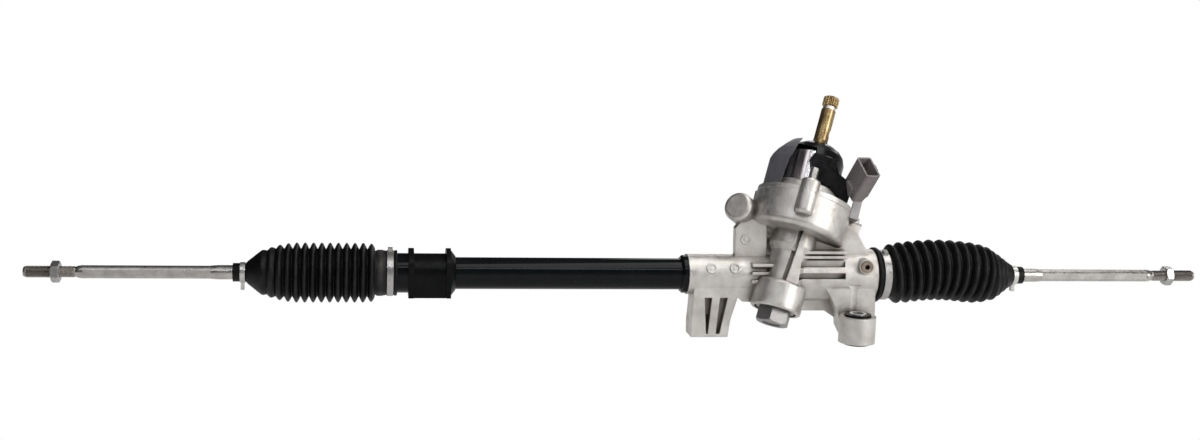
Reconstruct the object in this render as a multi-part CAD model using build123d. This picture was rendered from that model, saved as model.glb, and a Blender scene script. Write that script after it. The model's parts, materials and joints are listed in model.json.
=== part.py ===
"""Rack-and-pinion steering gear with a worm-driven assist wheel, a torque sensor
on the input shaft, two bellows and two inner tie rods.

Every part is laid out about the rack: X runs along the rack, Y to the rear and
Z up, with the rack axis on Y = Z = 0. Each part is then set down so that the
centre of the mounting eye is the origin. Millimetres throughout.
"""
from math import asin, atan2, cos, degrees, pi, radians, sin, sqrt, tan
import os

from build123d import *

# ---------------------------------------------------------------- fits
RUN = 0.05          # radial running clearance of a shaft in its hole
GAP = 0.3           # least gap between parts that only pass each other

# ---------------------------------------------------------------- rack and travel
RACK_R = 12.5
TRAVEL = 71.0                       # each way from straight ahead
BALL_LEFT = -322.0
BALL_RIGHT = 414.6
RACK_MID = 195.8                    # where the pinion crosses the rack

# ---------------------------------------------------------------- pinion and its axis
SLANT = 17.5                        # lean of the pinion along the rack
LEAN = 19.0                         # lean of the pinion to the rear
MODULE = 2.0
PINION_TEETH = 8
PRESSURE = 20.0
SHIFT = 0.5                         # profile shift that keeps the small pinion strong
BACKLASH = 0.08                     # taken off each pinion flank
PINION_REF_R = MODULE * PINION_TEETH / 2
PINION_TIP_R = 10.6
PINION_ROOT_R = 6.6
PINION_HALF_FACE = 16.0
RACK_TIP = PINION_REF_R + SHIFT * MODULE - MODULE      # pinion centre to rack crests
RACK_ROOT = PINION_REF_R + SHIFT * MODULE + MODULE     # pinion centre to rack roots
FLAT_DEPTH = 10.0                   # rack axis to rack crests
CENTRE_DISTANCE = RACK_TIP + FLAT_DEPTH
RACK_GAPS = 13                      # tooth gaps each side of the middle one
JOURNAL_R = 8.5
LOWER_JOURNAL_R = 6.0
CORE_R = 3.4                        # bore for the torsion bar
TORSION_R = 3.0

# ---------------------------------------------------------------- worm drive
WHEEL_Z = 50.0                      # height of the wheel's middle plane on the pinion
WHEEL_TEETH = 40
WORM_STARTS = 2
WHEEL_REF_R = 40.0
WORM_REF_R = 8.5
WORM_TIP_R = 10.3
WORM_ROOT_R = 6.3
WHEEL_TIP_R = 41.8
WHEEL_ROOT_R = 37.8
WHEEL_FACE = 11.0
HUB_R = 31.0
WORM_AZIMUTH = 50.9                 # direction of the worm axis about the pinion
WORM_DISTANCE = WHEEL_REF_R + WORM_REF_R
AXIAL_PITCH = 2 * pi * WHEEL_REF_R / WHEEL_TEETH
WORM_LEAD = AXIAL_PITCH * WORM_STARTS
WORM_HALF_LENGTH = 19.0
WORM_BORE_R = 13.0
WORM_TUBE_R = 15.8
KNOB_END = -53.0                    # front end of the worm tube along the worm axis
MOTOR_FACE = 62.0
MOTOR_REGISTER_R = 20.0
COUPLING_R = MOTOR_REGISTER_R - 1.0    # room for the motor's coupling behind the register
MOTOR_BOLT_PCD = 62.0
MOTOR_BOLT_R = 3.4
HELIX_HAND = -1                     # the wheel's teeth lean against the worm's lead
WORM_PHASE = 84.0                   # turn that sets the thread in the wheel's gashes

# ---------------------------------------------------------------- tube end
TUBE_R = 16.5
TUBE_BORE_R = TUBE_R - 2.3
TUBE_LEFT = -231.3
TUBE_RIGHT = 122.0
BARREL_LEFT = 91.8
BARREL_R = TUBE_R + 4.8
COLLAR = (BARREL_LEFT - 6.6, BARREL_LEFT - 0.3, TUBE_R + 3.6)
SLEEVE_R = TUBE_R + 3.9
SLEEVE_RIGHT = -200.0
CUSHION = (SLEEVE_RIGHT, -151.6)
CUSHION_RIBS = ((SLEEVE_RIGHT, -194.4), (-161.5, -156.6))
CUSHION_R = TUBE_R + 3.8
CUSHION_RIB_R = CUSHION_R + 5.5
CUSHION_FLOOR = -22.3

# ---------------------------------------------------------------- gear housing
RIGHT_BARREL_R = 27.5
RIGHT_BARREL_END = 296.0
CUFF_SEAT_R = 24.5
CUFF_SEAT_END = 314.0
NOSE_R = 19.5
NOSE_END = 324.2
RACK_BORE_R = 14.2
TOWER_R = 20.0
NECK_R = 24.0
BOSS_R = 27.0
BOSS_LOW = -43.0
BOSS_TOP = -13.0
DRUM_R = 51.5
DRUM_LOW = 41.0
DRUM_FLOOR = 44.0
DRUM_TOP = 77.0
DRUM_BORE_R = 43.5
MAIN_BEARING = (30.0, 41.0, 18.0)
UPPER_BEARING = (60.5, 70.5, 16.0)
LOWER_BEARING = (-30.0, -17.0, 12.0)
MAIN_BALLS = (13.5, 2.6)            # ball circle and ball radius
UPPER_BALLS = (12.35, 2.3)
BALL_GAP = 0.2
PLUG_R = 19.0
PLUG_RECESS_R = 22.5
HEX_PLUG_AF = 32.0
PLUG_SPOT = (281.0, 14.0)           # station and height of the front socket plug
YOKE_R = 16.0
YOKE_BOSS_R = 24.0
YOKE_BOSS_END = 47.0
ADJUSTER_R = 18.0
BOLT_ANGLES = (-101.0, 32.0, 140.0)  # cover screws about the pinion axis
BOLT_CIRCLE_R = DRUM_R + 0.5
SCREW_R = 3.0

BRACKET_SPOT = (DRUM_R + 7.0, 1.0)          # screw of the connector bracket, beside the drum
CAN_STEP = 128.9                    # top of the sensor can's higher half
STEP_EDGE = -8.0                    # plane where that half ends

# ---------------------------------------------------------------- mounting eye and foot
EYE = (270.3, -41.0, -50.3)
EYE_R = 19.3
EYE_HEIGHT = 28.0
BUSH_R = 14.4
BUSH_HEIGHT = 34.0
EYE_SLEEVE_R = 9.0
EYE_BOLT_R = 6.1
FOOT_FLOOR = -64.3
FOOT_THREAD_R = 5.1

# ---------------------------------------------------------------- inner joints and tie rods
BALL_R = 12.0
SEAT_R = 13.7
SOCKET_R = 17.0
SOCKET_MOUTH = 6.0
SOCKET_BACK = 17.0
WASHER = 2.0
STUD_R = 7.5
STUD_LENGTH = 20.0
ROD_NECK_R = 7.25
ROD_AF = 12.0
ROD_TIP = 256.0
THREAD_R = 6.0
THREAD_SEAT_R = THREAD_R - 0.2        # thread below and behind the lock nut
NUT = (ROD_TIP - 35.0, ROD_TIP - 26.5)
ROD_SHANK_R = 6.7
THREAD_FREE = NUT[1] + 0.5            # the outer rod end may screw on up to here
NUT_AF = 19.0
CUFF = (40.6, 53.6)                 # small boot cuff, measured out from the ball

# ---------------------------------------------------------------- bellows
BOOT_WALL = 1.4
# small end, first and last crest, large end
LEFT_BOOT = (-361.0, -345.8, -237.4, -232.8)
RIGHT_BOOT = (455.2, 447.4, 321.4, 314.8)
RIDGES = 14

# ---------------------------------------------------------------- sensor
SENSOR_FLANGE_TOP = 82.5
FRONT_LIFT = 91.0                   # top of the front screw column
CAN_R = 29.6
INPUT_R = 7.8
INPUT_TOP = 200.5
TONGUE_HALF_SLOT = 5.2              # slot in the pinion head
TONGUE_HALF = 4.2                   # tongue of the input shaft; the rest is twist


def unit(x, y, z):
    return Vector(x, y, z).normalized()


PINION_AXIS = unit(sin(radians(SLANT)), cos(radians(SLANT)) * sin(radians(LEAN)),
                   cos(radians(SLANT)) * cos(radians(LEAN)))
PINION_X = unit(cos(radians(SLANT)), -sin(radians(SLANT)) * sin(radians(LEAN)),
                -sin(radians(SLANT)) * cos(radians(LEAN)))
REARWARD = PINION_AXIS.cross(PINION_X)
PINION_ORIGIN = Vector(RACK_MID, 0, 0) - REARWARD * CENTRE_DISTANCE
PINION = Plane(origin=PINION_ORIGIN, x_dir=PINION_X, z_dir=PINION_AXIS)
YOKE = Plane(origin=(RACK_MID, 0, 0), x_dir=(1, 0, 0), z_dir=REARWARD)
WORM_DIR = (cos(radians(WORM_AZIMUTH)), sin(radians(WORM_AZIMUTH)), 0)
WORM_FOOT = (-sin(radians(WORM_AZIMUTH)) * WORM_DISTANCE,
             cos(radians(WORM_AZIMUTH)) * WORM_DISTANCE, WHEEL_Z)
WORM = Plane(origin=WORM_FOOT, x_dir=(0, 0, 1), z_dir=WORM_DIR)


def on_pinion(shape):
    return PINION.location * shape


def on_worm(shape):
    return PINION.location * (WORM.location * shape)


def on_yoke(shape):
    return YOKE.location * shape


def drum(r, low, high):
    """Upright cylinder between two heights."""
    return Pos(0, 0, low) * Cylinder(r, high - low, align=(Align.CENTER, Align.CENTER, Align.MIN))


def ring(r, bore, low, high):
    return drum(r, low, high) - drum(bore, low - 1, high + 1)


def cone(r_low, r_high, low, high):
    return Pos(0, 0, low) * Cone(r_low, r_high, high - low,
                                 align=(Align.CENTER, Align.CENTER, Align.MIN))


def along(r, start, end):
    """Cylinder on the rack axis between two stations."""
    return Pos(start, 0, 0) * Rot(0, 90, 0) * Cylinder(
        r, end - start, align=(Align.CENTER, Align.CENTER, Align.MIN))


def pipe(r, bore, start, end):
    return along(r, start, end) - along(bore, start - 1, end + 1)


def block(x, y, z):
    """Box between three pairs of limits."""
    return Pos(x[0], y[0], z[0]) * Box(x[1] - x[0], y[1] - y[0], z[1] - z[0],
                                       align=(Align.MIN, Align.MIN, Align.MIN))


def hex_bar(across_flats, low, high, turn=0.0):
    corner = across_flats / sqrt(3)
    outline = Rot(0, 0, turn) * RegularPolygon(corner, 6)
    return Pos(0, 0, low) * extrude(outline, high - low)


def chamfered_hex(across_flats, low, high, turn=0.0):
    """Hexagon whose corners are turned down at both ends."""
    corner = across_flats / sqrt(3)
    body = hex_bar(across_flats, low, high, turn)
    return body & (cone(across_flats / 2 - 0.5, corner + 3.0, low, low + 3.0)
                   + drum(corner + 3.0, low + 3.0, high - 3.0)
                   + cone(corner + 3.0, across_flats / 2 - 0.5, high - 3.0, high))


def turned(points):
    """Solid of revolution about the rack axis from (station, radius) points."""
    return revolve(Plane.XZ * make_face(Polyline(*points, close=True)), Axis.X)


def turned_z(points):
    """Solid of revolution about Z from (radius, height) points."""
    return revolve(Plane.XZ * make_face(Polyline(*points, close=True)), Axis.Z)


def prism_xz(points, front, rear):
    """Outline in the XZ plane, solid from front to rear."""
    outline = make_face(Polyline(*points, close=True))
    plate = extrude(Plane.XZ * outline, -(rear - front))
    return Pos(0, front, 0) * plate


def save(name, *solids):
    """Set the solids down with the eye at the origin and write the node."""
    moved = [Pos(-EYE[0], -EYE[1], -EYE[2]) * one for whole in solids for one in whole.solids()]
    shape = moved[0] if len(moved) == 1 else Compound(children=moved)
    export_step(shape, f"parts/{name}.step")


# ================================================================ rack and pinion
def pinion_outline():
    """Involute spur profile with slightly thinned teeth."""
    base = PINION_REF_R * cos(radians(PRESSURE))
    inv = tan(radians(PRESSURE)) - radians(PRESSURE)
    half = (pi * MODULE / 2 + 2 * SHIFT * MODULE * tan(radians(PRESSURE)) - 2 * BACKLASH)
    half = half / (2 * PINION_REF_R)

    def half_angle(r):
        if r <= base:
            return half + inv
        roll = sqrt((r / base) ** 2 - 1)
        return half + inv - (roll - atan2(roll, 1))

    radii = [base + (PINION_TIP_R - base) * (k / 5) ** 1.6 for k in range(6)]
    edges = []
    for tooth in range(PINION_TEETH):
        middle = 2 * pi * tooth / PINION_TEETH + pi / 2
        after = middle + 2 * pi / PINION_TEETH

        def at(r, angle):
            return (r * cos(angle), r * sin(angle))

        rise = [at(r, middle - half_angle(r)) for r in radii]
        fall = [at(r, middle + half_angle(r)) for r in reversed(radii)]
        root_out = at(PINION_ROOT_R, middle + half_angle(base))
        root_in = at(PINION_ROOT_R, after - half_angle(base))
        root_mid = at(PINION_ROOT_R, (middle + after) / 2)
        edges.append(Spline(*rise))
        edges.append(ThreePointArc(rise[-1], at(PINION_TIP_R, middle), fall[0]))
        edges.append(Spline(*fall))
        edges.append(Line(fall[-1], root_out))
        edges.append(ThreePointArc(root_out, root_mid, root_in))
        edges.append(Line(root_in, at(base, after - half_angle(base))))
    return make_face(edges)


def pinion_shaft():
    teeth = Pos(0, 0, -PINION_HALF_FACE) * extrude(pinion_outline(), 2 * PINION_HALF_FACE)
    tail = drum(LOWER_JOURNAL_R, LOWER_BEARING[0] + 0.5, -PINION_HALF_FACE)
    shank = drum(JOURNAL_R, PINION_HALF_FACE, 73)
    head = drum(12.0, 73, 84)
    slot = block((-13, 13), (-TONGUE_HALF_SLOT, TONGUE_HALF_SLOT), (78, 85))
    core = drum(CORE_R, 20, 85)
    return on_pinion(teeth + tail + shank + head - slot - core)


def input_shaft():
    tongue = block((-11, 11), (-TONGUE_HALF, TONGUE_HALF), (78.5, 86)) & drum(11.6, 78, 87)
    lower = drum(11.6, 84.5, 91)
    middle = drum(9.0, 91, 144.5) + cone(9.0, INPUT_R, 144.5, 150) + drum(INPUT_R, 150, 185.5)
    neck = drum(6.9, 185.5, 189.5)
    head = cone(INPUT_R, 8.6, 189.5, 190.5) + drum(8.6, 190.5, INPUT_TOP - 1.2)
    head += cone(8.6, 7.2, INPUT_TOP - 1.2, INPUT_TOP)
    body = tongue + lower + middle + neck + head
    serration = Pos(8.6, 0, 189.0) * Rot(0, 0, 45) * Box(
        1.0, 1.0, 20, align=(Align.CENTER, Align.CENTER, Align.MIN))
    for k in range(24):
        body -= Rot(0, 0, 15 * k) * serration
    body -= block((INPUT_R - 1.6, INPUT_R + 2), (-6, 6), (156, 164))
    return on_pinion(body - drum(CORE_R, 78, 190))


def torsion_bar():
    bar = drum(TORSION_R, 20, 189.5)
    ends = drum(CORE_R, 20, 32)
    return on_pinion(bar + ends)


def rack_gap(k):
    """One tooth space of the rack, in the pinion's frame."""
    pitch = pi * MODULE
    datum = PINION_REF_R + SHIFT * MODULE
    flank = tan(radians(PRESSURE))
    crest = RACK_TIP - 1.0
    wide = pitch / 4 + (datum - crest) * flank
    narrow = pitch / 4 - (RACK_ROOT - datum) * flank
    x = k * pitch
    outline = make_face(Polyline((x - wide, crest), (x + wide, crest), (x + narrow, RACK_ROOT),
                                 (x - narrow, RACK_ROOT), close=True))
    middle = x * tan(radians(SLANT))
    return Pos(0, 0, middle - 18) * extrude(outline, 36)


def rack_bar():
    left = BALL_LEFT + SOCKET_BACK + WASHER
    right = BALL_RIGHT - SOCKET_BACK - WASHER
    bar = along(RACK_R, left, right)
    half = (RACK_GAPS * pi * MODULE) / cos(radians(SLANT)) + 3.0
    relief = Pos(-half, 0, -20) * Box(2 * half, 40, 20 - FLAT_DEPTH,
                                      align=(Align.MIN, Align.CENTER, Align.MIN))
    bar -= on_yoke(relief)
    for k in range(-RACK_GAPS, RACK_GAPS + 1):
        bar -= on_pinion(rack_gap(k))
    bar -= along(STUD_R, left - 1, left + STUD_LENGTH + 1)
    bar -= along(STUD_R, right - STUD_LENGTH - 1, right + 1)
    return bar


# ================================================================ worm drive
def wheel_hub():
    half = WHEEL_FACE / 2 - 0.5
    hub = drum(HUB_R, WHEEL_Z - half, WHEEL_Z + half)
    boss = drum(14.0, WHEEL_Z - half, WHEEL_Z + 7.0)
    groove = ring(27.0, 17.0, WHEEL_Z + 2.0, WHEEL_Z + 6.0)
    groove += ring(27.0, 17.0, WHEEL_Z - 6.0, WHEEL_Z - 2.0)
    return on_pinion(hub + boss - groove - drum(JOURNAL_R, 40, 70))


def wheel_rim():
    low = WHEEL_Z - WHEEL_FACE / 2
    rim = ring(WHEEL_TIP_R, HUB_R, low, low + WHEEL_FACE)
    helix = degrees(atan2(WORM_LEAD, 2 * pi * WORM_REF_R))
    mouth = 2.35
    floor = 1.15
    outline = make_face(Polyline((WHEEL_ROOT_R, -floor), (WHEEL_TIP_R + 0.5, -mouth),
                                 (WHEEL_TIP_R + 0.5, mouth), (WHEEL_ROOT_R, floor), close=True))
    gash = Pos(0, 0, -12) * extrude(outline, 24)
    gash = Pos(0, 0, WHEEL_Z) * Rot(HELIX_HAND * helix, 0, 0) * gash
    toward_worm = 90 + WORM_AZIMUTH
    for k in range(WHEEL_TEETH):
        rim -= Rot(0, 0, toward_worm + 360 / WHEEL_TEETH * k) * gash
    return on_pinion(rim)


def worm_thread(start):
    """One helical thread of the worm, upright."""
    turns = 2 * WORM_HALF_LENGTH / WORM_LEAD
    path = Helix(WORM_LEAD, 2 * WORM_HALF_LENGTH, WORM_REF_R)
    crest = 0.62
    root = 2.05
    outline = make_face(Polyline((WORM_ROOT_R - 0.6, -root), (WORM_TIP_R, -crest),
                                 (WORM_TIP_R, crest), (WORM_ROOT_R - 0.6, root), close=True))
    section = Plane.XZ * outline
    thread = sweep(section, path=path, is_frenet=True)
    return Pos(0, 0, -WORM_HALF_LENGTH) * Rot(0, 0, 180 * start) * thread


def worm_shaft():
    core = drum(WORM_ROOT_R, -WORM_HALF_LENGTH - 6, WORM_HALF_LENGTH + 6)
    front = drum(5.0, -40, -24) + drum(7.0, -30.5, -24)
    rear = drum(6.0, 24, 50) + drum(8.0, 24, 33)
    body = core + front + rear
    for start in range(WORM_STARTS):
        body += worm_thread(start)
    body &= drum(WORM_TIP_R, -41, 51)
    spin = Rot(0, 0, WORM_PHASE)
    socket = hex_bar(6.0, 40, 52)
    return on_worm(spin * (body - socket))


# ================================================================ bearings
def race(r_out, r_in, low, high, balls):
    """Bearing ring with the groove that its balls run in."""
    groove = Pos(0, 0, (low + high) / 2) * Torus(balls[0], balls[1] + BALL_GAP)
    return on_pinion(ring(r_out, r_in, low, high) - groove)


def ball_set(balls, z, count):
    circle_r, ball_r = balls
    return [on_pinion(Pos(circle_r * cos(2 * pi * k / count), circle_r * sin(2 * pi * k / count), z)
                      * Sphere(ball_r)) for k in range(count)]


# ================================================================ tube and left mounting
def rack_tube():
    return pipe(TUBE_R, TUBE_BORE_R, TUBE_LEFT, TUBE_RIGHT)


def tube_collar():
    start, end, r = COLLAR
    return turned([(start, TUBE_R), (start, r - 2.2), (start + 2.2, r), (end, r), (end, TUBE_R)])


def end_sleeve():
    return turned([(TUBE_LEFT - 0.3, TUBE_R), (TUBE_LEFT - 0.3, SLEEVE_R - 1),
                   (TUBE_LEFT + 0.7, SLEEVE_R), (SLEEVE_RIGHT, SLEEVE_R),
                   (SLEEVE_RIGHT, TUBE_R)])


def rack_bush():
    bush = pipe(TUBE_BORE_R, RACK_R + 0.04, TUBE_LEFT + 3, TUBE_LEFT + 29)
    split = block((TUBE_LEFT, TUBE_LEFT + 40), (-0.8, 0.8), (10, 16))
    return bush - split


def cushion():
    start, end = CUSHION
    neck = CUSHION_RIBS[-1][1]
    wide = CUSHION_R
    body = along(CUSHION_R, start, neck)
    body += block((start, neck), (-wide, wide), (CUSHION_FLOOR, 0))
    cheek = wide + 1.4
    for a, b in CUSHION_RIBS:
        rib = along(CUSHION_RIB_R, a, b) + block((a, b), (-cheek, cheek), (CUSHION_FLOOR, 0))
        body += rib & block((a - 1, b + 1), (-cheek, cheek), (CUSHION_FLOOR, 40))
    tail = Pos(neck, 0, 0) * Rot(0, 90, 0) * Cone(
        CUSHION_RIB_R - 1.6, 17.6, end - neck, align=(Align.CENTER, Align.CENTER, Align.MIN))
    body += tail & block((neck - 4, end + 4), (-cheek, cheek), (CUSHION_FLOOR, 40))
    return body - along(TUBE_R, -240, -100)


# ================================================================ gear housing
def drum_outside():
    body = drum(DRUM_R, DRUM_LOW, DRUM_TOP)
    return fillet(body.edges().sort_by(Axis.Z)[0], 6.0)


def bolt_spot(angle):
    return Pos(BOLT_CIRCLE_R * cos(radians(angle)), BOLT_CIRCLE_R * sin(radians(angle)), 0)


def cover_screw_columns():
    column = drum(10.0, 53.0, DRUM_TOP)
    columns = bolt_spot(BOLT_ANGLES[0]) * fillet(column.edges().sort_by(Axis.Z)[0], 4.0)
    for angle in BOLT_ANGLES[1:]:
        columns += bolt_spot(angle) * drum(7.5, 56.0, DRUM_TOP)
    return columns


def pinion_tower():
    tower = drum(TOWER_R, BOSS_TOP - 3, DRUM_LOW + 2)
    tower += cone(TOWER_R, NECK_R, 20, 27) + drum(NECK_R, 27, DRUM_LOW + 2)
    boss = drum(BOSS_R, BOSS_LOW, BOSS_TOP)
    boss = chamfer(boss.edges().group_by(Axis.Z)[0], 1.5)
    boss = fillet(boss.edges().group_by(Axis.Z)[-1], 4.0)
    return tower + boss


def front_gusset():
    """Upright wall beside the pinion tower, widening towards the boss."""
    outline = make_face(Polyline((2.2, 47), (5.0, 47), (10.5, -10), (9.0, -18), (-2.8, -18), close=True))
    return Pos(0, -4, 0) * extrude(Plane.XZ * outline, 20)


def gusset_slot():
    """Narrow groove that parts the wall from the tower."""
    low = make_face(Polyline((-5.5, -13.5), (-2.8, -13.5), (-0.1, 20), (-3.7, 20), close=True))
    high = make_face(Polyline((-3.7, 20), (-0.1, 20), (1.9, 44), (-2.4, 44), close=True))
    slot = Pos(0, -16.5, 0) * extrude(Plane.XZ * low, 12)
    return slot + Pos(0, -20.5, 0) * extrude(Plane.XZ * high, 10)


def worm_tube():
    tube = drum(WORM_TUBE_R, KNOB_END, 40)
    tube = fillet(tube.edges().sort_by(Axis.Z)[0], 4.5)
    tube += drum(COUPLING_R + 3.5, 26, MOTOR_FACE)
    flange = drum(37.0, MOTOR_FACE - 10, MOTOR_FACE)
    flange &= block((-32, 40), (-40, 40), (MOTOR_FACE - 12, MOTOR_FACE + 1))
    tube += fillet(flange.edges().filter_by(Axis.Z), 4.0)
    return tube


def worm_hollow():
    hollow = drum(9.0, KNOB_END + 9, -40) + drum(WORM_BORE_R, -40, 34)
    hollow += drum(15.0, 33, 44) + drum(COUPLING_R, 43.2, MOTOR_FACE - 4)
    hollow += drum(MOTOR_REGISTER_R, MOTOR_FACE - 5, MOTOR_FACE + 1)
    for k in range(3):
        angle = radians(120 * k)
        hollow += Pos(MOTOR_BOLT_PCD / 2 * cos(angle), MOTOR_BOLT_PCD / 2 * sin(angle), 0) * drum(
            MOTOR_BOLT_R, MOTOR_FACE - 11, MOTOR_FACE + 1)
    return hollow


def webs():
    """Upright plates that tie the drum and the worm tube to the barrel."""
    left = prism_xz([(143.5, 12), (142.5, 50), (150, 60), (176, 60), (178, 12)], -5, 5)
    right = prism_xz([(194, 14), (196, 60), (258, 60), (272, 50), (287, 26), (287, 14)], -14, -2)
    lower = prism_xz([(208, -8), (212, -38.3), (244, -38.3), (256, -46), (256, -8)], -6, 4)
    inner = prism_xz([(140, 0), (140, -16), (150, -26), (172, -27), (172, 0)], -18, -6)
    return left + right + lower + inner


def barrel_ribs():
    """Short fins left of the tower and long fins on top of the right barrel."""
    ribs = block((158, 180), (-25.0, -8.0), (12.6, 15.8))
    for z in (5.5, -3.5):
        ribs += block((158, 180), (-25.0, -8.0), (z - 1.6, z + 1.6))
    for z in (28.5, 23.5):
        ribs += block((203, 259), (-27.0, -4.0), (z - 1.5, z + 1.5))
    return ribs


def barrel_pockets():
    """Two long grooves in the front of the right barrel."""
    pockets = block((206, 259), (-34.0, -20.0), (12.6, 18.8))
    pockets += block((206, 259), (-34.0, -20.0), (0.2, 6.4))
    return pockets


def foot():
    """Ribbed foot under the left of the barrel, solid at its floor."""
    outline = [(98, -8), (97.2, -33), (96.0, -50), (96.4, FOOT_FLOOR),
               (136.0, FOOT_FLOOR), (138.2, -46), (145.5, -20), (145.5, -8)]
    body = prism_xz(outline, -18, 8)
    for left, right, low_left, low_right in ((109.5, 117.5, 112.5, 114.5),
                                             (126.0, 134.5, 123.0, 127.0)):
        pocket = [(left, -22), (right, -22), (low_right, -61), (low_left, -61)]
        body -= prism_xz(pocket, -22, -8)
    return body


def eye_arm():
    """Curved arm that carries the mounting eye in front of the barrel."""
    eye = Pos(*EYE) * Cylinder(EYE_R, EYE_HEIGHT)
    low = EYE[2] - EYE_HEIGHT / 2
    edge = Spline((236.5, -7.5), (242.5, -16.2), (248.2, -25.9), (253.1, -36.8), (256.5, -53.0))
    rest = Polyline((256.5, -53.0), (262.0, low + 1.0), (289.0, low + 1.0), (294.3, -37.0),
                    (293.2, -5.0), (236.5, -5.0), (236.5, -7.5))
    outline = make_face(edge + rest)
    arm = Pos(0, -25.5, 0) * extrude(Plane.XZ * outline, -22)
    return eye + arm - eye_clearance()


def eye_clearance():
    """Room above the eye for the bush and its washer."""
    return Pos(EYE[0], EYE[1], EYE[2] + EYE_HEIGHT / 2) * Cylinder(
        EYE_R - 3.4, 30, align=(Align.CENTER, Align.CENTER, Align.MIN))


def raised_mark(lift, start, reach):
    """Shallow dished disc standing off a face, looking forward."""
    disc = drum(5.4, start, reach) - drum(3.9, reach - 0.5, reach + 1) + drum(1.8, start, reach)
    return Rot(-lift, 0, 0) * Rot(90, 0, 0) * disc


def gear_housing():
    body = along(BARREL_R, BARREL_LEFT, 210)
    body += along(RIGHT_BARREL_R, 203, RIGHT_BARREL_END)
    body += along(CUFF_SEAT_R, RIGHT_BARREL_END, CUFF_SEAT_END)
    body += along(NOSE_R, CUFF_SEAT_END, NOSE_END)
    body += on_pinion(pinion_tower())
    body += on_pinion(drum_outside())
    body += on_pinion(cover_screw_columns())
    body += on_pinion(front_gusset())
    body += on_pinion(block((44, 66), (-6, 8), (60, 72)))
    body += on_worm(worm_tube())
    body += on_yoke(drum(YOKE_BOSS_R, 0, YOKE_BOSS_END))
    body += webs()
    body += barrel_ribs()
    body += foot()
    body += eye_arm()
    body += Pos(PLUG_SPOT[0], 0, PLUG_SPOT[1]) * Rot(90, 0, 0) * drum(8.0, 18, 30)
    for x in (115.2, 140.4):
        body += Pos(x, 0, 0) * raised_mark(27.0, 14, BARREL_R + 0.9)
    body += Pos(154.0, 0, 38.5) * raised_mark(0.0, -2, 5.9)
    body -= barrel_pockets()
    body -= on_pinion(gusset_slot())
    # hollows
    body -= along(RACK_BORE_R, BARREL_LEFT - 1, NOSE_END + 1)
    body -= along(TUBE_R, BARREL_LEFT - 1, TUBE_RIGHT)
    body -= on_yoke(drum(YOKE_R + RUN, 0, 36) + drum(ADJUSTER_R, 36, YOKE_BOSS_END + 1))
    body -= on_yoke(drum(YOKE_BOSS_R + 3, YOKE_BOSS_END, YOKE_BOSS_END + 20))
    body -= on_pinion(drum(11.8, LOWER_BEARING[1] - 0.5, MAIN_BEARING[0])
                      + drum(LOWER_BEARING[2], LOWER_BEARING[0], LOWER_BEARING[1])
                      + drum(LOWER_BEARING[2] - 1.5, LOWER_BEARING[0] - 3, LOWER_BEARING[0])
                      + drum(PLUG_R, BOSS_LOW - 1, LOWER_BEARING[0] - 1.5)
                      + drum(PLUG_RECESS_R, BOSS_LOW - 1, BOSS_LOW + 4.5)
                      + drum(MAIN_BEARING[2], MAIN_BEARING[0], DRUM_FLOOR + 1)
                      + drum(DRUM_BORE_R, DRUM_FLOOR, DRUM_TOP + 1))
    body -= on_worm(worm_hollow())
    body -= on_pinion(Pos(BRACKET_SPOT[0], BRACKET_SPOT[1], 0) * drum(3.0, 63, 73))
    for angle in BOLT_ANGLES:
        body -= on_pinion(bolt_spot(angle) * drum(SCREW_R, DRUM_TOP - 14, DRUM_TOP + 1))
    body -= Pos(PLUG_SPOT[0], 0, PLUG_SPOT[1]) * Rot(90, 0, 0) * drum(5.0, 20, 32)
    body -= Pos(*EYE) * Cylinder(BUSH_R, EYE_HEIGHT + 8)
    body -= eye_clearance()
    body -= Pos(114.0, -5.0, FOOT_FLOOR) * drum(FOOT_THREAD_R, -1, 22)
    body -= block((80, BARREL_LEFT), (-30, 30), (-30, 30))
    return body


def housing_plug():
    plug = drum(5.0, 21, 30) + drum(6.4, 30, 31.6)
    return Pos(PLUG_SPOT[0], 0, PLUG_SPOT[1]) * Rot(90, 0, 0) * (plug - hex_bar(5.0, 27, 33))


def eye_bush():
    rubber = ring(BUSH_R, EYE_SLEEVE_R, -EYE_HEIGHT / 2, EYE_HEIGHT / 2)
    rubber += ring(BUSH_R - 0.6, EYE_SLEEVE_R, EYE_HEIGHT / 2, BUSH_HEIGHT / 2 - 0.8)
    rubber += ring(BUSH_R - 0.6, EYE_SLEEVE_R, -BUSH_HEIGHT / 2 + 0.8, -EYE_HEIGHT / 2)
    return Pos(*EYE) * rubber


def eye_sleeve():
    return Pos(*EYE) * ring(EYE_SLEEVE_R, EYE_BOLT_R, -BUSH_HEIGHT / 2, BUSH_HEIGHT / 2)


def pinion_plug():
    plug = drum(PLUG_R, BOSS_LOW + 3.0, LOWER_BEARING[0] - 2)
    plug += drum(20.5, BOSS_LOW + 1.0, BOSS_LOW + 3.0)
    head = chamfered_hex(HEX_PLUG_AF, BOSS_LOW - 14.5, BOSS_LOW + 1.0, 8)
    dish = drum(10.0, BOSS_LOW - 15.5, BOSS_LOW - 13.0)
    return on_pinion(plug + head - dish)


def needle_bearing():
    low, high, r = LOWER_BEARING
    return on_pinion(ring(r, LOWER_JOURNAL_R + 0.04, low + 0.2, high - 0.2))


# ================================================================ rack guide
def yoke():
    body = drum(YOKE_R, 2, 32)
    body -= Rot(0, 90, 0) * Cylinder(RACK_R + 1.0, 60)
    return on_yoke(body - drum(10.0, 22, 33))


def yoke_liner():
    arc = Rot(0, 90, 0) * (Cylinder(RACK_R + 1.0, 26) - Cylinder(RACK_R + 0.03, 30))
    return on_yoke(arc & block((-13, 13), (-10.5, 10.5), (0, 20)))


def yoke_spring():
    path = Helix(3.9, 11.7, 7.6)
    wire = sweep(Plane.XZ * (Pos(7.6, 0, 0) * Circle(1.3)), path=path, is_frenet=True)
    return on_yoke(Pos(0, 0, 23.4) * wire)


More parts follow.
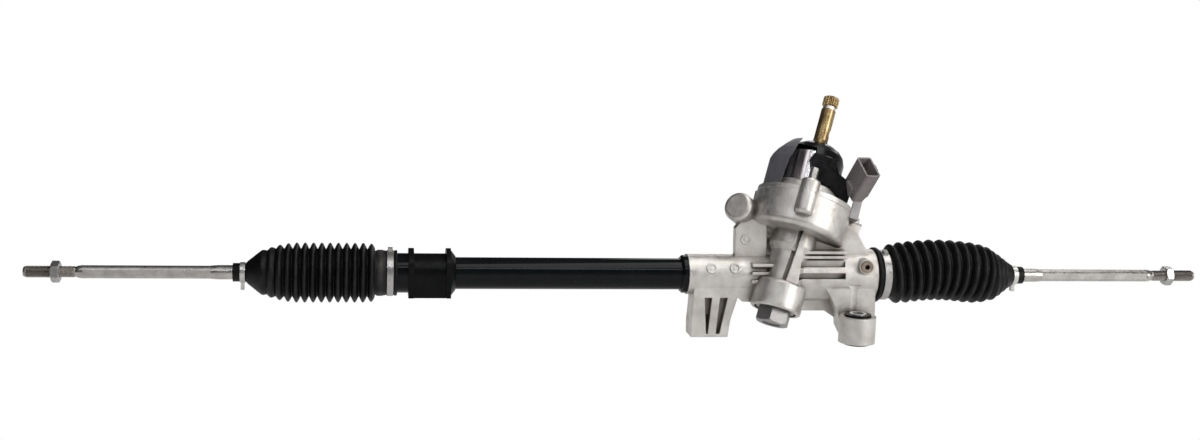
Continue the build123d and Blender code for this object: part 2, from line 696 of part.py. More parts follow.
def yoke_adjuster():
    plug = drum(ADJUSTER_R, 36.6, 55)
    plug -= drum(9.0, 36, 42)
    return on_yoke(plug - hex_bar(17.0, 48, 56))


def yoke_locknut():
    nut = chamfered_hex(44.0, YOKE_BOSS_END + 0.02, YOKE_BOSS_END + 6.5)
    return on_yoke(nut - drum(ADJUSTER_R, 40, 60))


# ================================================================ upper casting and sensor
def sensor_housing():
    top = SENSOR_FLANGE_TOP
    outside = turned_z([(12.8, 59.8), (20.5, 59.8), (20.5, 73), (43.3, 73), (43.3, DRUM_TOP),
                        (DRUM_R, DRUM_TOP), (DRUM_R, top), (45.0, top), (39.0, top + 9.5),
                        (36.5, top + 11.0), (33.0, top + 11.0), (33.0, 84.5), (12.8, 84.5)])
    front = bolt_spot(BOLT_ANGLES[0])
    column = fillet(drum(10.0, DRUM_TOP, FRONT_LIFT).edges().sort_by(Axis.Z)[-1], 3.0)
    outside += front * column
    for angle in BOLT_ANGLES[1:]:
        outside += bolt_spot(angle) * drum(7.5, DRUM_TOP, top + 1.0)
        outside -= bolt_spot(angle) * drum(7.5, top + 1.0, 110)
    for angle in BOLT_ANGLES:
        outside -= bolt_spot(angle) * drum(SCREW_R + 0.3, 70, 110)
    outside -= front * drum(6.4, FRONT_LIFT - 0.8, 110)
    outside -= drum(UPPER_BEARING[2], UPPER_BEARING[0] - 0.3, UPPER_BEARING[1])
    outside -= drum(12.8, 55, 86)
    return on_pinion(outside)


def cover_screws():
    screws = []
    for angle in BOLT_ANGLES:
        lift = FRONT_LIFT - 0.8 if angle == BOLT_ANGLES[0] else SENSOR_FLANGE_TOP + 1.0
        reach = 13.5 if angle == BOLT_ANGLES[0] else 5.0
        head = hex_bar(8.0, lift + 1.2, lift + reach) + drum(5.6, lift, lift + 1.2)
        screws.append(on_pinion(bolt_spot(angle) * (head + drum(SCREW_R, DRUM_TOP - 12, lift))))
    return screws


def raised_side(low, high, edge):
    """Half of the sensor's top that stands higher, beyond a given plane."""
    return drum(CAN_R, low, high) & block((-40, edge), (-40, 40), (low, high))


def sensor_can():
    """Drawn can whose left half stands higher than the right."""
    r = CAN_R
    can = turned_z([(r - 1.3, 84.5), (r, 84.5), (r, 121.5), (13.0, 121.5), (13.0, 120.2),
                    (r - 1.3, 120.2)])
    can += raised_side(121.0, CAN_STEP, STEP_EDGE - 0.4)
    inside = drum(r - 1.3, 121.5, CAN_STEP - 1.3)
    can -= inside & block((-40, STEP_EDGE - 1.7), (-40, 40), (121.5, CAN_STEP - 1.3))
    return on_pinion(can - drum(13.0, 119, 130))


def sensor_coil():
    coil = turned_z([(16.0, 91), (28.0, 91), (28.0, 94), (25.0, 94), (25.0, 103), (28.0, 103),
                     (28.0, 106), (25.0, 106), (25.0, 115), (28.0, 115), (28.0, 118.5),
                     (16.0, 118.5)])
    return on_pinion(coil)


def sensor_core():
    core = ring(14.6, 9.0, 94, 116)
    for k in range(6):
        core -= Rot(0, 0, 60 * k) * block((11.5, 16), (-1.5, 1.5), (98, 112))
    return on_pinion(core)


def sensor_cap():
    cap = turned_z([(12.0, 121.8), (CAN_R + 0.3, 121.8), (CAN_R + 0.3, 118.5), (31.2, 118.5),
                    (31.2, 127.0), (28.5, 134.5), (24.0, 139.5), (17.0, 143.5), (12.0, 143.5)])
    cap -= block((-40, STEP_EDGE), (-40, 40), (117, CAN_STEP + GAP))
    shoulder = drum(40, CAN_STEP - 1, CAN_STEP + 4.5) - drum(22.5, CAN_STEP - 2, CAN_STEP + 5)
    cap -= shoulder & block((-40, STEP_EDGE), (-40, 0), (120, 135))
    return on_pinion(cap)


def shaft_seal():
    return on_pinion(ring(12.0, 9.0 + RUN, 137.0, 144.0))


def sensor_shell():
    low = SENSOR_FLANGE_TOP + GAP
    shell = turned_z([(45.3, low), (47.4, low), (47.4, 116), (45.8, 121), (42.5, 127), (36.5, 134.5),
                      (30.5, 141.0), (26.0, 142.8), (25.4, 140.8), (29.2, 139.2), (34.9, 133.0),
                      (40.7, 125.9), (43.8, 120.3), (45.3, 115.4)])
    edge = make_face(Polyline((-60, 70), (-36, 70), (-36.0, 96), (-34.5, 112), (-29, 130),
                              (-19, 150), (-60, 150), close=True))
    front = Pos(0, 0, 0) * extrude(Plane.XZ * edge, 60)
    rear = block((-60, 10), (0, 60), (70, 150))
    shell = shell & (front + rear)
    for angle in BOLT_ANGLES:
        shell -= bolt_spot(angle) * drum(8.0, 80, 100)
    return on_pinion(shell)


def casting_room():
    """Space taken by the upper casting, which the mouldings on it keep clear of."""
    top = SENSOR_FLANGE_TOP
    room = drum(DRUM_R + GAP, 60, top + GAP) + cone(47.0, 40.6, top, top + 9.8)
    room += drum(40.6, top, top + 11.0 + GAP)
    room += bolt_spot(BOLT_ANGLES[0]) * drum(10.6, 60, FRONT_LIFT + GAP)
    for angle in BOLT_ANGLES:
        room += bolt_spot(angle) * drum(8.2, 60, 92)
    return room


def connector_arm():
    """Moulded cover in front of the sensor can, drawn out into an arm."""
    outline = make_face(Polyline((-13, 119), (-9, 106), (-5, 99), (36, 82.5), (37.5, 103),
                                 (20, 110), (15, 118), (15, 124), (-11, 124), close=True))
    arm = extrude(Plane.XZ * outline, 16)
    arm = Pos(0, -22, 0) * arm
    arm -= drum(CAN_R + 0.3, 80, 118.5)
    arm -= drum(31.5, 118, 130)
    arm -= casting_room()
    arm -= bolt_spot(BOLT_ANGLES[0]) * drum(6.4, 80, 107)
    return on_pinion(arm - CONNECTOR * (connector_envelope() + connector_link()))


def connector_envelope():
    return block((-8.5, 8.5), (-14.0, 14.0), (0, 38))


def connector_body():
    """Plug housing with its mouth turned up and forward."""
    body = connector_envelope()
    body = chamfer(body.edges().filter_by(Axis.Z), 1.6)
    body -= Rot(0, 20, 0) * block((3.0, 20.0), (-20, 20), (-6, 9))
    body -= block((-6.7, 6.7), (-12.2, 12.2), (20, 39))
    return body


CONNECTOR = Pos(42.3, -30.0, 98.6) * Rot(55.0, 0, 0) * Rot(0, 0, 25.0)


def connector_link():
    return block((-12.0, 0), (-8.0, 6), (2, 12))


def sensor_connector():
    latch = block((8.5, 10.3), (-4, 4), (18, 37))
    body = CONNECTOR * (connector_body() + latch + connector_link())
    return on_pinion(body - casting_room())


def connector_pins():
    pins = []
    for x in (-3.0, 3.0):
        for y in (-8.0, -2.7, 2.7, 8.0):
            pin = block((x - 0.8, x + 0.8), (y - 0.8, y + 0.8), (20, 28.8))
            pins.append(on_pinion(CONNECTOR * pin))
    return pins


def connector_bracket():
    """Folded strip that carries the connector beside the drum."""
    strip = block((48.0, 66.0), (-6.0, 8.0), (72.0, 74.0))
    strip += block((44.0, 56.0), (-25.0, -5.0), (72.0, 74.0))
    strip += block((45.5, 55.0), (-25.0, -23.0), (72.0, 108.0))
    strip -= drum(DRUM_R + 0.6, 60, SENSOR_FLANGE_TOP + GAP) + casting_room()
    strip -= Pos(BRACKET_SPOT[0], BRACKET_SPOT[1], 0) * drum(3.0, 60, 90)
    return on_pinion(strip - CONNECTOR * (connector_envelope() + connector_link()))


def bracket_screw():
    screw = drum(3.0, 64.0, 74.0) + hex_bar(10.0, 75.2, 80.5) + drum(6.2, 74.0, 75.2)
    return on_pinion(Pos(BRACKET_SPOT[0], BRACKET_SPOT[1], 0) * screw)


# ================================================================ bellows
def bellows_profile(stations, crest, valley, swell):
    """Outer (station, radius) points from the small end to the large end."""
    start, first, last, end = stations
    step = (last - first) / (RIDGES - 1)
    points = [(start, 11.4), (first - step * 0.45, min(valley * 0.86, crest * swell[0] - 2.4))]
    for k in range(RIDGES):
        middle = first + step * k
        r = crest * swell[min(k, len(swell) - 1)]
        tail = RIDGES - 1 - k
        if tail == 0:
            r = crest * 0.955
        low = min(valley, r - 3.5)
        points.append((middle, r))
        points.append((middle + step / 2, low if k < 3 else valley))
    return points


def boot(ball, way, stations, crest, valley, swell, cuff_end, cuff_r, seat_r, lip):
    large_end = stations[-1]
    outer = bellows_profile(stations, crest, valley, swell)
    inner = [(x, r - BOOT_WALL) for x, r in outer]
    bore = ROD_NECK_R + 0.03
    cuff_far = ball + way * CUFF[1]
    near = ball + way * CUFF[0]
    shell = [(cuff_far, bore), (cuff_far, 9.4), (near, 9.4)] + outer[:-1]
    shell += [(large_end, cuff_r), (lip[0], cuff_r), (lip[0], lip[1]), (cuff_end, lip[1]),
              (cuff_end, seat_r), (large_end, seat_r)]
    shell += list(reversed(inner[:-1])) + [(near, bore)]
    return turned(shell)


def left_boot():
    return boot(BALL_LEFT, -1, LEFT_BOOT, 30.8, 21.9,
                (0.73, 0.84, 0.925, 0.975, 1.0), -211.3, 22.8, SLEEVE_R, (-214.2, 23.4))


def right_boot():
    return boot(BALL_RIGHT, 1, RIGHT_BOOT, 33.0, 23.0,
                (0.64, 0.82, 0.92, 0.97, 1.0), 297.0, 26.0, CUFF_SEAT_R, (301.0, 29.6))


def band(start, end, bore, thick, lug_angle):
    """Clamp band with a raised ear."""
    strap = pipe(bore + thick, bore, start, end)
    middle = (start + end) / 2
    ear = Rot(lug_angle, 0, 0) * block((middle - 2.4, middle + 2.4), (-3.5, 3.5),
                                       (bore + thick - 0.4, bore + thick + 2.4))
    return strap + ear


def small_clip(ball, way):
    start = ball + way * (CUFF[0] + 0.8)
    low = min(start, start + way * 5.0)
    clip = pipe(10.4, 9.45, low, low + 5.0)
    tail = block((low + 0.5, low + 4.0), (-3.0, -1.0), (-17.5, -9.8))
    tail += block((low + 0.5, low + 4.0), (1.0, 3.0), (-17.5, -9.8))
    return clip + tail


# ================================================================ inner joints and tie rods
def socket(ball, way):
    """Ball housing screwed into the rack end, laid out from the ball outward."""
    body = drum(SOCKET_R, -SOCKET_BACK, SOCKET_MOUTH)
    body = fillet(body.edges().sort_by(Axis.Z)[-1], 2.0)
    body -= Sphere(SEAT_R + RUN)
    stud = drum(STUD_R, -SOCKET_BACK - WASHER - STUD_LENGTH, -SOCKET_BACK)
    flats = block((-20, 20), (-20, 20), (-SOCKET_BACK, -SOCKET_BACK + 7))
    flats -= block((-21, 21), (-14.5, 14.5), (-SOCKET_BACK - 1, 0))
    return Pos(ball, 0, 0) * Rot(0, 90 * way, 0) * (body + stud - flats)


def lock_washer(ball, way):
    washer = ring(15.5, STUD_R, -SOCKET_BACK - WASHER, -SOCKET_BACK)
    for side in (-1, 1):
        tab = block((-4, 4), (14.6, 16.2), (-SOCKET_BACK - WASHER, -SOCKET_BACK + 6))
        washer += Rot(0, 0, 90 - 90 * side) * tab
    return Pos(ball, 0, 0) * Rot(0, 90 * way, 0) * washer


def ball_seat(ball, way):
    shell = Sphere(SEAT_R) - Sphere(BALL_R + 0.06)
    shell -= drum(20, 4.6, 20)
    return Pos(ball, 0, 0) * Rot(0, 90 * way, 0) * shell


def tie_rod(ball, way):
    rod = Sphere(BALL_R)
    rod += drum(6.0, 8, 14) + cone(6.0, ROD_NECK_R, 14, 20) + drum(ROD_NECK_R, 20, 68)
    rod += cone(ROD_NECK_R, ROD_SHANK_R, 68, 75.5)
    shank = drum(ROD_SHANK_R + 0.1, 75.5, 199) & block((-8, 8), (-ROD_AF / 2, ROD_AF / 2), (60, 210))
    rod += shank & (Rot(0, 0, 90) * block((-8, 8), (-ROD_AF / 2, ROD_AF / 2), (60, 210)))
    rod += cone(ROD_SHANK_R, THREAD_SEAT_R, 199, 206) + drum(THREAD_SEAT_R, 206, THREAD_FREE)
    rod += drum(THREAD_R, THREAD_FREE, ROD_TIP - 2)
    rod += cone(THREAD_R, THREAD_R - 1.6, ROD_TIP - 2, ROD_TIP)
    return Pos(ball, 0, 0) * Rot(0, 90 * way, 0) * rod


def jam_nut(ball, way):
    turn = 8 if way < 0 else 38
    nut = chamfered_hex(NUT_AF, NUT[0], NUT[1], turn)
    return Pos(ball, 0, 0) * Rot(0, 90 * way, 0) * (nut - drum(THREAD_SEAT_R + RUN, 200, 240))


# ================================================================ write every node
def main():
    os.makedirs("parts", exist_ok=True)
    save("gear_housing", gear_housing())
    save("housing_plug", housing_plug())
    save("eye_bush", eye_bush())
    save("eye_sleeve", eye_sleeve())
    save("pinion_plug", pinion_plug())
    save("needle_bearing", needle_bearing())
    save("main_bearing_outer", race(18.0, 15.6, 30.0, 41.0, MAIN_BALLS))
    save("main_bearing_inner", race(11.4, JOURNAL_R, 30.5, 41.5, MAIN_BALLS))
    save("main_bearing_balls", *ball_set(MAIN_BALLS, 35.75, 9))
    save("upper_bearing_outer", race(16.0, 14.3, 60.5, 70.5, UPPER_BALLS))
    save("upper_bearing_inner", race(10.4, JOURNAL_R, 60.5, 70.5, UPPER_BALLS))
    save("upper_bearing_balls", *ball_set(UPPER_BALLS, 65.5, 9))
    save("yoke", yoke())
    save("yoke_liner", yoke_liner())
    save("yoke_spring", yoke_spring())
    save("yoke_adjuster", yoke_adjuster())
    save("yoke_locknut", yoke_locknut())
    save("pinion_shaft", pinion_shaft())
    save("torsion_bar", torsion_bar())
    save("input_shaft", input_shaft())
    save("worm_wheel_hub", wheel_hub())
    save("worm_wheel_rim", wheel_rim())
    save("worm_shaft", worm_shaft())
    save("worm_front_bearing", on_worm(ring(WORM_BORE_R, 5.0 + 0.04, -39.0, -31.0)))
    save("worm_rear_bearing", on_worm(ring(15.0, 6.0 + 0.04, 33.5, 43.0)))
    save("rack_bar", rack_bar())
    save("rack_tube", rack_tube())
    save("tube_collar", tube_collar())
    save("tube_end_sleeve", end_sleeve())
    save("rack_bush", rack_bush())
    save("mount_cushion", cushion())
    save("sensor_housing", sensor_housing())
    save("cover_screws", *cover_screws())
    save("sensor_can", sensor_can())
    save("sensor_coil", sensor_coil())
    save("sensor_core", sensor_core())
    save("sensor_cap", sensor_cap())
    save("shaft_seal", shaft_seal())
    save("sensor_shell", sensor_shell())
    save("connector_arm", connector_arm())
    save("sensor_connector", sensor_connector())
    save("connector_pins", *connector_pins())
    save("connector_bracket", connector_bracket())
    save("bracket_screw", bracket_screw())
    for side, ball, way in (("left", BALL_LEFT, -1), ("right", BALL_RIGHT, 1)):
        save(f"{side}_socket", socket(ball, way))
        save(f"{side}_lock_washer", lock_washer(ball, way))
        save(f"{side}_ball_seat", ball_seat(ball, way))
        save(f"{side}_tie_rod", tie_rod(ball, way))
        save(f"{side}_jam_nut", jam_nut(ball, way))
        save(f"{side}_boot_clip", small_clip(ball, way))
    save("left_boot", left_boot())
    save("right_boot", right_boot())
    save("left_boot_clamp", band(-221.6, -215.2, 22.85, 1.0, 0))
    save("right_boot_clamp", band(303.6, 311.2, 26.05, 1.0, 20))


main()
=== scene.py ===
import json
import math

import bmesh
import bpy
from mathutils import Matrix, Vector


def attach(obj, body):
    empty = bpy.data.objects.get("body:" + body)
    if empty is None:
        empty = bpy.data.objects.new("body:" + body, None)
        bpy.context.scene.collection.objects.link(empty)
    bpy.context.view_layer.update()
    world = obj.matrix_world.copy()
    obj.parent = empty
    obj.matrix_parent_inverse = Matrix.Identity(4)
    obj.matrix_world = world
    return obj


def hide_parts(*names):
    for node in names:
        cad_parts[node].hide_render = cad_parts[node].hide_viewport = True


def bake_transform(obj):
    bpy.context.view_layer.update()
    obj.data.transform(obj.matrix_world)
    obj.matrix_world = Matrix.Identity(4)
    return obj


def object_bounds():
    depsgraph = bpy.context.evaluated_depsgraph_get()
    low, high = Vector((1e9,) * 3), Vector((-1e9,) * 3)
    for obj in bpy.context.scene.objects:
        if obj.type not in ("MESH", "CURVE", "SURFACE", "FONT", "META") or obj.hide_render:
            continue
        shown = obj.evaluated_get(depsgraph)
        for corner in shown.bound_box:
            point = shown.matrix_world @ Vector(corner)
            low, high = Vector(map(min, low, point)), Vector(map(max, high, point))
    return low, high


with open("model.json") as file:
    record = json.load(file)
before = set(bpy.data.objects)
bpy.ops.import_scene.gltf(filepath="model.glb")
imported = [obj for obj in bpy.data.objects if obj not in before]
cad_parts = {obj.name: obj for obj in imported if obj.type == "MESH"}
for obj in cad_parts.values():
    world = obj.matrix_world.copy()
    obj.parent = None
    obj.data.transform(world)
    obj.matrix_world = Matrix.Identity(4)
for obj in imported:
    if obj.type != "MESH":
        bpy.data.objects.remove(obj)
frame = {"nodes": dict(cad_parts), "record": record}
cad_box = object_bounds()
scene = bpy.context.scene

# The rack's axis and the pinion's, in the shared frame, in metres.
RACK = Vector((-0.2703, 0.041, 0.0503))
PINION_FOOT = Vector((-0.0745, 0.024926, 0.055835))
PINION_AXIS = Vector((0.300706, 0.3105, 0.901757))
PINION_SIDE = Vector((0.953717, -0.097901, -0.284320))
# Each inner ball joint: its place along the rack in millimetres, and which way its rod points.
BALLS = {"left": (-322.0, -1), "right": (414.6, 1)}
THREAD_DARKER = 206.2  # from the ball to where the rod's colour turns darker, in millimetres


def mm(x, y=0.0, z=0.0):
    """A point given about the rack in millimetres, in the shared frame."""
    return RACK + Vector((x, y, z)) * 0.001


def placed(name, data):
    """A new object in the scene."""
    item = bpy.data.objects.new(name, data)
    scene.collection.objects.link(item)
    return item


# ---------------------------------------------------------------- materials
class Graph:
    """A node tree. What a node is given is a number, a tuple or another node's output."""

    def __init__(self, tree):
        self.nodes, self.links = tree.nodes, tree.links

    def feed(self, socket, value):
        if isinstance(value, bpy.types.NodeSocket):
            self.links.new(value, socket)
        elif socket.type == "RGBA":
            socket.default_value = (*value, 1)
        else:
            socket.default_value = value

    def add(self, kind, inputs, **settings):
        """A new shader node, with its settings and with its inputs by name or number."""
        node = self.nodes.new(f"ShaderNode{kind}")
        for name, value in settings.items():
            setattr(node, name, value)
        for socket, value in inputs.items():
            self.feed(node.inputs[socket], value)
        return node

    def math(self, kind, a, b):
        return self.add("Math", {0: a, 1: b}, operation=kind).outputs[0]

    def split(self, vector):
        """The three coordinates of a vector, by letter."""
        return self.add("SeparateXYZ", {"Vector": vector}).outputs

    def spread(self, value, low, high, floor=0.35, roof=0.65):
        """A value between floor and roof, spread over low to high."""
        return self.add("MapRange", {"Value": value, "From Min": floor, "From Max": roof,
                                     "To Min": low, "To Max": high}).outputs["Result"]

    def ramp(self, value, *stops):
        """The colour for a value, from (value, colour) stops."""
        node = self.add("ValToRGB", {"Fac": value})
        band = node.color_ramp.elements
        while len(band) < len(stops):
            band.new(0.5)
        for element, (at, colour) in zip(band, stops):
            element.position = at
            element.color = (*colour, 1)
        return node.outputs["Color"]

    def mixed(self, share, first, second):
        """Two shaders, by the share of the second."""
        return self.add("MixShader", {"Fac": share, 1: first, 2: second}).outputs["Shader"]


class Look(Graph):
    """A principled material in object space."""

    def __init__(self, name, colour, metallic, roughness):
        self.mat = bpy.data.materials.new(name)
        self.mat.use_nodes = True
        super().__init__(self.mat.node_tree)
        self.shader = self.nodes["Principled BSDF"]
        self.colour(colour)
        self.rough(roughness)
        self.feed(self.shader.inputs["Metallic"], metallic)
        self.place = self.add("TexCoord", {}).outputs["Object"]
        self.normal = None

    def colour(self, value):
        self.feed(self.shader.inputs["Base Color"], value)

    def rough(self, value):
        self.feed(self.shader.inputs["Roughness"], value)

    def shine(self, value):
        self.feed(self.shader.inputs["Specular IOR Level"], value)

    def noise(self, scale, detail=4.0, rough=0.55, stretch=None, about=None):
        """Noise in metres, stretched along its axes and laid about another axis where asked."""
        where = self.turned(*about) if about else self.place
        if stretch:
            where = self.add("Mapping", {"Scale": stretch, "Vector": where}).outputs["Vector"]
        return self.add("TexNoise", {"Scale": scale, "Detail": detail, "Roughness": rough,
                                     "Vector": where}).outputs["Fac"]

    def along(self, direction):
        """The coordinate along a direction, in metres."""
        node = self.add("VectorMath", {0: self.place, 1: direction}, operation="DOT_PRODUCT")
        return node.outputs["Value"]

    def turned(self, side, axis):
        """Coordinates with X along side and Z along axis."""
        return self.add("CombineXYZ", {"X": self.along(side), "Y": self.along(axis.cross(side)),
                                       "Z": self.along(axis)}).outputs["Vector"]

    def soft_edges(self, radius, samples=4):
        """Edges shaded as rounded. It comes before any bump."""
        node = self.add("Bevel", {"Radius": radius}, samples=samples)
        self.normal = node.outputs["Normal"]
        self.feed(self.shader.inputs["Normal"], self.normal)

    def bump(self, height, distance, strength):
        inputs = {"Height": height, "Distance": distance, "Strength": strength}
        if self.normal is not None:
            inputs["Normal"] = self.normal
        self.normal = self.add("Bump", inputs).outputs["Normal"]
        self.feed(self.shader.inputs["Normal"], self.normal)

    def hollows(self, reach, low, high):
        """1 on open faces, 0 deep in a corner: the mask by which shade is painted into corners."""
        node = self.add("AmbientOcclusion", {"Distance": reach}, samples=6)
        return self.spread(node.outputs["AO"], 0.0, 1.0, low, high)

    def blended(self, share, first, second):
        """Two colours, by the share of the second: sockets 6, 7 and 2 of a Mix node."""
        return self.add("Mix", {0: share, 6: first, 7: second}, data_type="RGBA").outputs[2]


def cast_aluminium():
    """Sand-cast skin, mottled, with brown-grey painted shade in the corners."""
    look = Look("cast_aluminium", (0.6, 0.58, 0.55), 0.85, 0.42)
    look.soft_edges(0.0014, 6)
    skin = look.ramp(look.noise(60, 5, 0.65), (0.3, (0.48, 0.45, 0.415)),
                     (0.52, (0.61, 0.585, 0.555)), (0.72, (0.72, 0.705, 0.68)))
    # Painted shade: ambient occlusion darkens corners and gaps towards brown-grey.
    look.colour(look.blended(look.hollows(0.012, 0.25, 0.8), (0.2, 0.175, 0.15), skin))
    look.rough(look.spread(look.noise(240, 6), 0.31, 0.54))
    look.bump(look.noise(900, 3), 0.0004, 0.5)
    look.bump(look.noise(170, 3), 0.0006, 0.3)
    return look.mat


def black_enamel():
    """Gloss black paint."""
    look = Look("black_enamel", (0.004, 0.0045, 0.005), 0.0, 0.1)
    look.shine(0.14)
    look.colour(look.ramp(look.noise(40), (0.35, (0.003, 0.0035, 0.004)),
                          (0.7, (0.0055, 0.006, 0.007))))
    look.rough(look.spread(look.noise(300), 0.04, 0.075))
    look.bump(look.noise(60, 2), 0.0002, 0.1)
    return look.mat


def metal(name, base, low, high):
    """Plated, ground or stamped metal, with its roughness between low and high."""
    look = Look(name, base, 0.9, 0.34)
    look.soft_edges(0.0004)
    dim = tuple(0.82 * c for c in base)
    look.colour(look.ramp(look.noise(120, 5), (0.35, dim), (0.65, base)))
    look.rough(look.spread(look.noise(500), low, high))
    look.bump(look.noise(1500, 2), 0.0001, 0.25)
    return look.mat


def rod_steel():
    """Plated rod, darker where it is threaded at its outer end."""
    look = Look("rod_steel", (0.5, 0.48, 0.46), 1.0, 0.34)
    plated = look.ramp(look.noise(90, 5), (0.35, (0.40, 0.38, 0.36)),
                       (0.65, (0.53, 0.51, 0.485)))
    look.rough(look.spread(look.noise(400), 0.26, 0.42))
    x = look.split(look.place)["X"]
    left, right = (mm(ball + way * THREAD_DARKER).x for ball, way in BALLS.values())
    threaded = look.math("MAXIMUM", look.math("LESS_THAN", x, left),
                         look.math("GREATER_THAN", x, right))
    look.colour(look.blended(threaded, plated, (0.33, 0.305, 0.28)))
    look.bump(look.noise(1200, 2), 0.0001, 0.25)
    return look.mat


def rubber(name, base, bloom_and_sheen):
    """Smooth moulded rubber."""
    look = Look(name, base, 0.0, 0.35)
    look.shine(0.09)
    look.soft_edges(0.0008)
    look.colour(look.ramp(look.noise(55, 5), (0.4, base), (0.75, bloom_and_sheen)))
    look.rough(look.spread(look.noise(200), 0.24, 0.38))
    look.bump(look.noise(700, 3), 0.0002, 0.2)
    return look.mat


def bellows_rubber():
    """Matt black, with a painted grey highlight along the crests, broken up by noise."""
    look = Look("bellows_rubber", (0.004, 0.004, 0.004), 0.0, 0.5)
    look.shine(0.2)
    # Painted highlight: the crest share on each vertex lightens the crests to grey, and the left
    # cuff to brown-grey.
    painted_highlight = look.add("Attribute", {}, attribute_name="crest").outputs["Fac"]
    bloom_and_sheen = look.math("MULTIPLY", painted_highlight, look.spread(look.noise(70, 5), 0.4, 0.7))
    look.colour(look.ramp(bloom_and_sheen, (0.0, (0.002, 0.002, 0.002)), (0.42, (0.004, 0.004, 0.004)),
                          (0.64, (0.014, 0.014, 0.0145)), (1.0, (0.06, 0.052, 0.05))))
    look.rough(look.spread(look.noise(260), 0.42, 0.55))
    look.bump(look.noise(800, 3), 0.0002, 0.35)
    return look.mat


def plastic(name, base, low, high, grain=0.2, shine=0.4):
    """Moulded plastic, with its roughness between low and high."""
    look = Look(name, base, 0.0, (low + high) / 2)
    look.shine(shine)
    look.soft_edges(0.0006)
    pale = tuple(min(1, 1.35 * c + 0.001) for c in base)
    look.colour(look.ramp(look.noise(45, 4), (0.35, base), (0.7, pale)))
    look.rough(look.spread(look.noise(180), low, high))
    look.bump(look.noise(900, 3), 0.0002, grain)
    return look.mat


def bright_steel():
    """Drawn can with painted reflections: light and dark streaks along the pinion's axis."""
    look = Look("bright_steel", (0.8, 0.77, 0.78), 0.9, 0.2)
    painted_streaks = look.noise(1.0, 3, stretch=(210, 210, 9), about=(PINION_SIDE, PINION_AXIS))
    # Painted reflections: the colour swings from dark to near white across the streaks.
    look.colour(look.ramp(painted_streaks, (0.36, (0.16, 0.145, 0.15)), (0.47, (0.62, 0.58, 0.59)),
                          (0.56, (0.92, 0.88, 0.9))))
    look.rough(look.spread(painted_streaks, 0.3, 0.14))
    return look.mat


def bronze_shaft():
    """Yellow chromate on steel, with a pale ring under the splined head."""
    ring_from, ring_to = 0.1858, 0.1892
    look = Look("bronze_shaft", (0.30, 0.215, 0.10), 0.85, 0.3)
    look.soft_edges(0.0004)
    stain = look.noise(1.0, 3, stretch=(140, 140, 45))
    coat = look.ramp(stain, (0.3, (0.17, 0.11, 0.05)), (0.52, (0.30, 0.21, 0.095)),
                     (0.72, (0.40, 0.31, 0.16)))
    up = look.math("SUBTRACT", look.along(PINION_AXIS), PINION_FOOT.dot(PINION_AXIS))
    ring = look.math("MULTIPLY", look.math("GREATER_THAN", up, ring_from),
                     look.math("LESS_THAN", up, ring_to))
    look.colour(look.blended(ring, coat, (0.78, 0.74, 0.68)))
    look.rough(look.spread(look.noise(150), 0.24, 0.36))
    return look.mat


def brown_plug():
    """Dull brown-grey socket plug, with painted shade in its recess."""
    look = Look("brown_plug", (0.26, 0.21, 0.16), 0.6, 0.42)
    look.soft_edges(0.0004)
    coat = look.ramp(look.noise(120, 4), (0.35, (0.2, 0.155, 0.115)),
                     (0.65, (0.32, 0.265, 0.21)))
    # Painted shade: ambient occlusion darkens the socket's recess almost to black.
    look.colour(look.blended(look.hollows(0.006, 0.4, 0.95), (0.03, 0.025, 0.02), coat))
    look.rough(look.spread(look.noise(300), 0.36, 0.5))
    return look.mat


looks = {
    "cast_aluminium": cast_aluminium(),
    "black_enamel": black_enamel(),
    "zinc_steel": metal("zinc_steel", (0.66, 0.65, 0.62), 0.26, 0.42),
    "dull_steel": metal("dull_steel", (0.36, 0.35, 0.35), 0.34, 0.5),
    "band_steel": metal("band_steel", (0.48, 0.465, 0.455), 0.26, 0.4),
    "ground_steel": metal("ground_steel", (0.55, 0.56, 0.58), 0.2, 0.34),
    "bearing_steel": metal("bearing_steel", (0.62, 0.63, 0.66), 0.1, 0.2),
    "bright_steel": bright_steel(),
    "rod_steel": rod_steel(),
    "bronze_shaft": bronze_shaft(),
    "gear_bronze": metal("gear_bronze", (0.62, 0.46, 0.30), 0.24, 0.4),
    "copper_coil": metal("copper_coil", (0.55, 0.27, 0.14), 0.3, 0.5),
    "brown_plug": brown_plug(),
    "boot_rubber": bellows_rubber(),
    "bush_rubber": rubber("bush_rubber", (0.003, 0.0032, 0.0034), (0.0055, 0.0057, 0.006)),
    "black_plastic": plastic("black_plastic", (0.0025, 0.0025, 0.003), 0.16, 0.26, 0.02, 0.25),
    "slate_plastic": plastic("slate_plastic", (0.105, 0.103, 0.115), 0.3, 0.45),
    "mauve_plastic": plastic("mauve_plastic", (0.175, 0.155, 0.155), 0.34, 0.48),
    "white_plastic": plastic("white_plastic", (0.62, 0.61, 0.57), 0.4, 0.55),
}
# Nodes that look different from their slot's other nodes.
SPECIAL = {
    "left_tie_rod": "rod_steel", "right_tie_rod": "rod_steel",
    "left_boot_clamp": "band_steel", "right_boot_clamp": "band_steel",
    "left_jam_nut": "band_steel", "right_jam_nut": "band_steel",
    "housing_plug": "brown_plug", "pinion_plug": "dull_steel", "connector_bracket": "dull_steel",
}


def smooth_shading(mesh):
    """Shade the facets as the round faces they stand for; the vertices stay as they are."""
    normals = [Vector((0, 0, 0)) for _ in mesh.vertices]
    exact = set()
    for face in mesh.polygons:
        for corner in face.loop_indices:
            vertex = mesh.loops[corner].vertex_index
            if face.use_smooth:
                normals[vertex] = mesh.loops[corner].normal.copy()
                exact.add(vertex)
            elif vertex not in exact:
                normals[vertex] = normals[vertex] + face.normal * face.area
    mesh.polygons.foreach_set("use_smooth", [True] * len(mesh.polygons))
    mesh.normals_split_custom_set_from_vertices([n.normalized() for n in normals])


